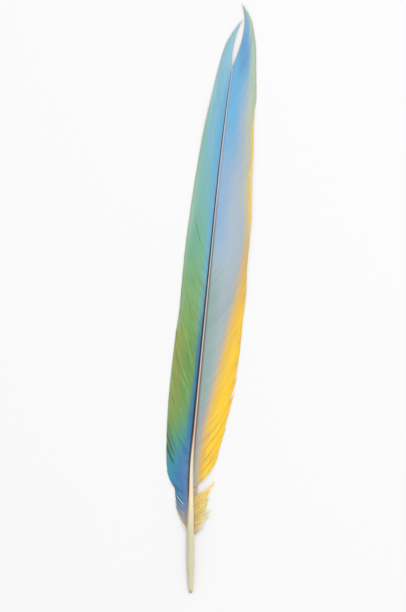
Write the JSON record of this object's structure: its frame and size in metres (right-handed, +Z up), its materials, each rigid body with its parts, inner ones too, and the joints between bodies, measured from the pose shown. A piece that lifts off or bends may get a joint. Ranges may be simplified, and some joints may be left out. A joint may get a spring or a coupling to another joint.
{
  "type": "macaw feather",
  "caption": "Single long macaw tail feather lying flat: round quill, gently arched shaft, two unequal vanes of barbs forked at the tip, and a loose tuft low on one side.",
  "frame": {"origin": "on the surface that the feather lies on, under the middle of its bounding box", "axes": "+Y from the quill's end towards the feather's tip, +X to the right seen from above, +Z up, away from the surface, on the feather's upper side"},
  "size_m": [0.0476, 0.4036, 0.0057],
  "materials": {
    "vane": "satin",
    "shaft": "satin",
    "down": "matte"
  },
  "bodies": {
    "root": {"feather": "vane"}
  },
  "joints": []
}
